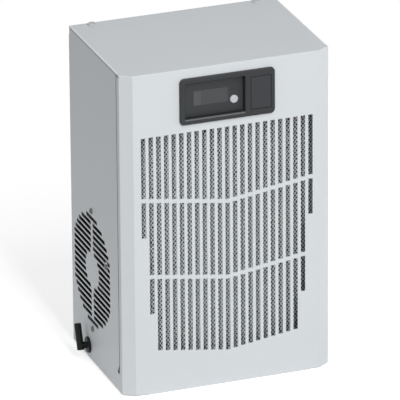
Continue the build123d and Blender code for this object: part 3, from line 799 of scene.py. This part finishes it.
class ENCLOSUREAC_OT_coils(DressOperator):
    """Fins of the cooling coil and the finish of both coils"""

    bl_idname = "enclosure_ac.coils"
    bl_label = "Coils"

    def execute(self, context):
        fins = context.scene.ac_fins
        metal = grained_material(
            "fin_aluminium", fins.metal, darker(fins.metal, share=0.8), roughness=0.4, spread=0.2,
            patch_scale=50.0, grain_scale=1500.0, grain_depth=0.00002, metallic=0.85,
        )
        low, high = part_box("cooling_coil")
        count = int((high.x - low.x) / fins.pitch)
        mesh = grow("cooling_fins", fin_stack_tree(), {
            "Count": count,
            "Pitch": fins.pitch,
            "Thickness": fins.thickness,
            "Depth": fins.proud,
            "Height": high.z - low.z,
        }, metal)
        span = (count - 1) * fins.pitch
        mesh.transform(Matrix.Translation((-span / 2, high.y + fins.proud / 2, (low.z + high.z) / 2)))
        keep_piece(mesh_piece("cooling_fins", mesh, metal))
        for name in ("condenser_coil", "coil_end_plates", "cooling_coil"):
            finish_node(name, metal)
        return {"FINISHED"}


class ENCLOSUREAC_OT_fans(DressOperator):
    """Black mouldings of both fans, and the compressor's enamel"""

    bl_idname = "enclosure_ac.fans"
    bl_label = "Fans"

    def execute(self, context):
        black = grained_material(
            "fan_moulding", *BLACK_MOULDING, roughness=0.55, spread=0.15,
            patch_scale=30.0, grain_scale=1800.0, grain_depth=0.00003, specular=0.2,
        )
        for name in ("condenser_fan_frame", "condenser_fan_rotor", "inlet_fan_frame", "inlet_fan_rotor"):
            finish_node(name, black)
        enamel = grained_material(
            "compressor_enamel", *BLACK_MOULDING, roughness=0.3, spread=0.1,
            patch_scale=20.0, grain_scale=900.0, grain_depth=0.00002,
        )
        finish_node("compressor", enamel)
        return {"FINISHED"}


class ENCLOSUREAC_OT_outlet(DressOperator):
    """The moulded cord outlet with its corners rounded, its nut and the drain spout"""

    bl_idname = "enclosure_ac.outlet"
    bl_label = "Cord Outlet"

    def execute(self, context):
        outlet = context.scene.ac_outlet
        black = grained_material(
            "outlet_moulding", outlet.colour, darker(outlet.colour, share=0.7), roughness=0.42, spread=0.15,
            patch_scale=90.0, grain_scale=2200.0, grain_depth=0.00003, specular=0.15,
        )
        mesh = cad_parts["cord_outlet"].data.copy()
        merged = bmesh.new()
        merged.from_mesh(mesh)
        bmesh.ops.remove_doubles(merged, verts=merged.verts, dist=WELD_DISTANCE)
        merged.to_mesh(mesh)
        merged.free()
        piece = mesh_piece("cord_outlet_moulding", mesh, black)
        remesh = piece.modifiers.new("remesh", "REMESH")
        remesh.mode = "VOXEL"
        remesh.voxel_size = outlet.voxel
        smooth = piece.modifiers.new("smooth", "SMOOTH")
        smooth.iterations = outlet.smoothing
        rounded = evaluated_mesh(piece)
        piece.modifiers.clear()
        piece.data = rounded
        rounded.materials.clear()
        rounded.materials.append(black)
        rounded.shade_smooth()
        keep_piece(piece)
        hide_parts("cord_outlet")
        finish_node("outlet_nut", black)
        finish_node("drain_spout", black)
        return {"FINISHED"}


class ENCLOSUREAC_OT_plugs(DressOperator):
    """Plugs over the lifting points of the top"""

    bl_idname = "enclosure_ac.plugs"
    bl_label = "Lifting Plugs"

    def execute(self, context):
        paint = context.scene.ac_cabinet_paint
        finish_node("lifting_plugs", grained_material(
            "plug_moulding", darker(paint.colour, share=0.8), darker(paint.colour, share=0.7),
            roughness=0.45, spread=0.1, patch_scale=80.0, grain_scale=1800.0, grain_depth=0.00002,
        ))
        return {"FINISHED"}


class ENCLOSUREAC_OT_rear(DressOperator):
    """Foam gasket and plated nuts of the rear face"""

    bl_idname = "enclosure_ac.rear"
    bl_label = "Rear Face"

    def execute(self, context):
        finish_node("rear_gasket", grained_material(
            "closed_cell_foam", *CLOSED_CELL_FOAM, roughness=0.85, spread=0.1,
            patch_scale=600.0, grain_scale=1100.0, grain_depth=0.0003, specular=0.2,
        ))
        finish_node("mounting_nuts", grained_material(
            "zinc_plate_nuts", *BRIGHT_ZINC, roughness=0.35, spread=0.2,
            patch_scale=70.0, grain_scale=1500.0, grain_depth=0.00001, metallic=0.9,
        ))
        return {"FINISHED"}


class ENCLOSUREAC_OT_screws(DressOperator):
    """Pan-head screws of the side fan and of the rear plate"""

    bl_idname = "enclosure_ac.screws"
    bl_label = "Screws"

    def execute(self, context):
        screws = context.scene.ac_screws
        zinc = grained_material(
            "zinc_plate", screws.metal, darker(screws.metal, share=0.8), roughness=0.36, spread=0.2,
            patch_scale=120.0, grain_scale=2200.0, grain_depth=0.00001, metallic=0.5,
        )
        places = fan_screw_places() + rear_screw_places()
        points = bpy.data.meshes.new("screw_points")
        points.from_pydata([place for place, facing in places], [], [])
        facing_attribute = points.attributes.new("facing", "FLOAT_VECTOR", "POINT")
        for item, (place, facing) in zip(facing_attribute.data, places):
            item.vector = facing
        mesh = grow("screw_heads", screw_heads_tree(), {
            "Radius": screws.radius, "Height": screws.height, "Recess": screws.recess,
        }, zinc, points)
        keep_piece(mesh_piece("screw_heads", mesh, zinc))
        return {"FINISHED"}


def fan_screw_places():
    """Screws of the condenser fan's flange, on the outside of the left panel."""
    low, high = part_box("condenser_fan_frame")
    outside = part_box("left_side_panel")[0].x
    from_end = 0.005
    middle_y = (low.y + high.y) / 2
    middle_z = (low.z + high.z) / 2
    pad_ahead, pad_above = 0.05425, 0.0255
    left = Vector((-1, 0, 0))
    places = [
        (middle_y, low.z + from_end),
        (middle_y, high.z - from_end),
        (middle_y - pad_ahead, middle_z + pad_above),
    ]
    return [(Vector((outside, y, z)), left) for y, z in places]


def rear_screw_places():
    """Screws along both upright edges of the rear plate."""
    low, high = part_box("rear_plate")
    from_edge = 0.0065
    from_end = 0.07
    rows = 4
    backwards = Vector((0, 1, 0))
    places = []
    for x in (low.x + from_edge, high.x - from_edge):
        for row in range(rows):
            z = low.z + from_end + (high.z - low.z - 2 * from_end) * row / (rows - 1)
            places.append((Vector((x, high.y, z)), backwards))
    return places


class ENCLOSUREAC_OT_stage(DressOperator):
    """Pale floor, soft lamps, white surroundings and the camera"""

    bl_idname = "enclosure_ac.stage"
    bl_label = "Stage"

    def execute(self, context):
        studio = context.scene.ac_studio
        make_floor(studio)
        make_world(studio)
        for name, azimuth, elevation, width, height in LAMPS:
            away = direction(radians(azimuth), radians(elevation))
            make_lamp(name, away, (width, height), getattr(studio, name), studio.aim)
        make_camera(studio)
        return {"FINISHED"}


def direction(azimuth, elevation):
    """The way from the aim to that azimuth, measured from the front, and that elevation."""
    return Vector((sin(azimuth) * cos(elevation), -cos(azimuth) * cos(elevation), sin(elevation)))


def camera_sees(tree):
    """A factor that is 1 for what the camera sees, directly, in gloss or through glass."""
    path = tree.nodes.new("ShaderNodeLightPath")
    seen = math_node(tree, "MAXIMUM", path.outputs["Is Camera Ray"], path.outputs["Is Glossy Ray"])
    return math_node(tree, "MAXIMUM", seen, path.outputs["Is Transmission Ray"])


def make_floor(studio):
    """A strip of pale floor under the object, a little brighter to the camera than its light makes it."""
    mesh = bpy.data.meshes.new("floor")
    x, y = studio.floor_width / 2, studio.floor_length / 2
    mesh.from_pydata([(-x, -y, 0), (x, -y, 0), (x, y, 0), (-x, y, 0)], [], [(0, 1, 2, 3)])
    material, shader = new_material("pale_floor")
    tree = material.node_tree
    shader.inputs["Base Color"].default_value = (*studio.floor, 1)
    shader.inputs["Roughness"].default_value = 0.9
    shader.inputs["Emission Color"].default_value = (1, 1, 1, 1)
    lift = math_node(tree, "MULTIPLY", camera_sees(tree), studio.floor_lift)
    tree.links.new(lift, shader.inputs["Emission Strength"])
    mesh.materials.append(material)
    floor = bpy.data.objects.new("floor", mesh)
    bpy.context.scene.collection.objects.link(floor)


def make_world(studio):
    """Even light, and white wherever the camera or a reflection sees past the floor."""
    world = bpy.data.worlds.new("studio")
    world.use_nodes = True
    nodes, links = world.node_tree.nodes, world.node_tree.links
    even = nodes["Background"]
    even.inputs["Strength"].default_value = studio.ambient
    even.inputs["Color"].default_value = (1, 1, 1, 1)
    white = nodes.new("ShaderNodeBackground")
    white.inputs["Strength"].default_value = 1.0
    white.inputs["Color"].default_value = (1, 1, 1, 1)
    choice = nodes.new("ShaderNodeMixShader")
    links.new(camera_sees(world.node_tree), choice.inputs["Fac"])
    links.new(even.outputs[0], choice.inputs[1])
    links.new(white.outputs[0], choice.inputs[2])
    links.new(choice.outputs[0], nodes["World Output"].inputs["Surface"])
    bpy.context.scene.world = world


def make_lamp(name, away, size, power, aim):
    """A rectangular lamp that looks at the aim from that direction."""
    data = bpy.data.lights.new(name, "AREA")
    data.energy = power
    data.shape = "RECTANGLE"
    data.size, data.size_y = size
    lamp = bpy.data.objects.new(name, data)
    lamp.location = Vector(aim) + away * LAMP_DISTANCE
    lamp.rotation_euler = away.to_track_quat("Z", "Y").to_euler()
    bpy.context.scene.collection.objects.link(lamp)


def make_camera(studio):
    """The camera at the fitted place."""
    roll = studio.roll
    back = direction(studio.azimuth, studio.elevation)
    level = Vector((cos(studio.azimuth), sin(studio.azimuth), 0))
    upright = back.cross(level)
    right = level * cos(roll) + upright * sin(roll)
    up = upright * cos(roll) - level * sin(roll)
    data = bpy.data.cameras.new("camera")
    data.lens = studio.focal_length
    data.clip_end = 100.0
    camera = bpy.data.objects.new("camera", data)
    place = Vector(studio.aim) + back * studio.distance + right * studio.right + up * studio.up
    turn = Matrix((right, up, back)).transposed().to_4x4()
    camera.matrix_world = Matrix.Translation(place) @ turn
    bpy.context.scene.collection.objects.link(camera)
    bpy.context.scene.camera = camera


class ENCLOSUREAC_PT_panel(bpy.types.Panel):
    """Lists the operators"""

    bl_label = "Air Conditioner"
    bl_space_type = "VIEW_3D"
    bl_region_type = "UI"
    bl_category = "Air Conditioner"

    def draw(self, context):
        for operator in OPERATORS:
            self.layout.operator(operator.bl_idname)


SETTINGS = {
    "ac_cabinet_paint": CabinetPaintSettings,
    "ac_panel": PanelSettings,
    "ac_filter": FilterSettings,
    "ac_fins": FinSettings,
    "ac_screws": ScrewSettings,
    "ac_outlet": OutletSettings,
    "ac_studio": StudioSettings,
}
OPERATORS = (
    ENCLOSUREAC_OT_cabinet,
    ENCLOSUREAC_OT_panel,
    ENCLOSUREAC_OT_filter,
    ENCLOSUREAC_OT_coils,
    ENCLOSUREAC_OT_fans,
    ENCLOSUREAC_OT_outlet,
    ENCLOSUREAC_OT_plugs,
    ENCLOSUREAC_OT_rear,
    ENCLOSUREAC_OT_screws,
    ENCLOSUREAC_OT_stage,
)


def register():
    for name, settings in SETTINGS.items():
        bpy.utils.register_class(settings)
        setattr(bpy.types.Scene, name, bpy.props.PointerProperty(type=settings))
    for operator in OPERATORS:
        bpy.utils.register_class(operator)
    bpy.utils.register_class(ENCLOSUREAC_PT_panel)


def unregister():
    bpy.utils.unregister_class(ENCLOSUREAC_PT_panel)
    for operator in reversed(OPERATORS):
        bpy.utils.unregister_class(operator)
    for name, settings in reversed(SETTINGS.items()):
        delattr(bpy.types.Scene, name)
        bpy.utils.unregister_class(settings)


def main():
    register()
    bpy.context.scene.view_settings.view_transform = "Standard"
    bpy.ops.enclosure_ac.cabinet()
    bpy.ops.enclosure_ac.panel()
    bpy.ops.enclosure_ac.filter()
    bpy.ops.enclosure_ac.coils()
    bpy.ops.enclosure_ac.fans()
    bpy.ops.enclosure_ac.outlet()
    bpy.ops.enclosure_ac.plugs()
    bpy.ops.enclosure_ac.rear()
    bpy.ops.enclosure_ac.screws()
    bpy.ops.enclosure_ac.stage()


if __name__ == "__main__":
    main()
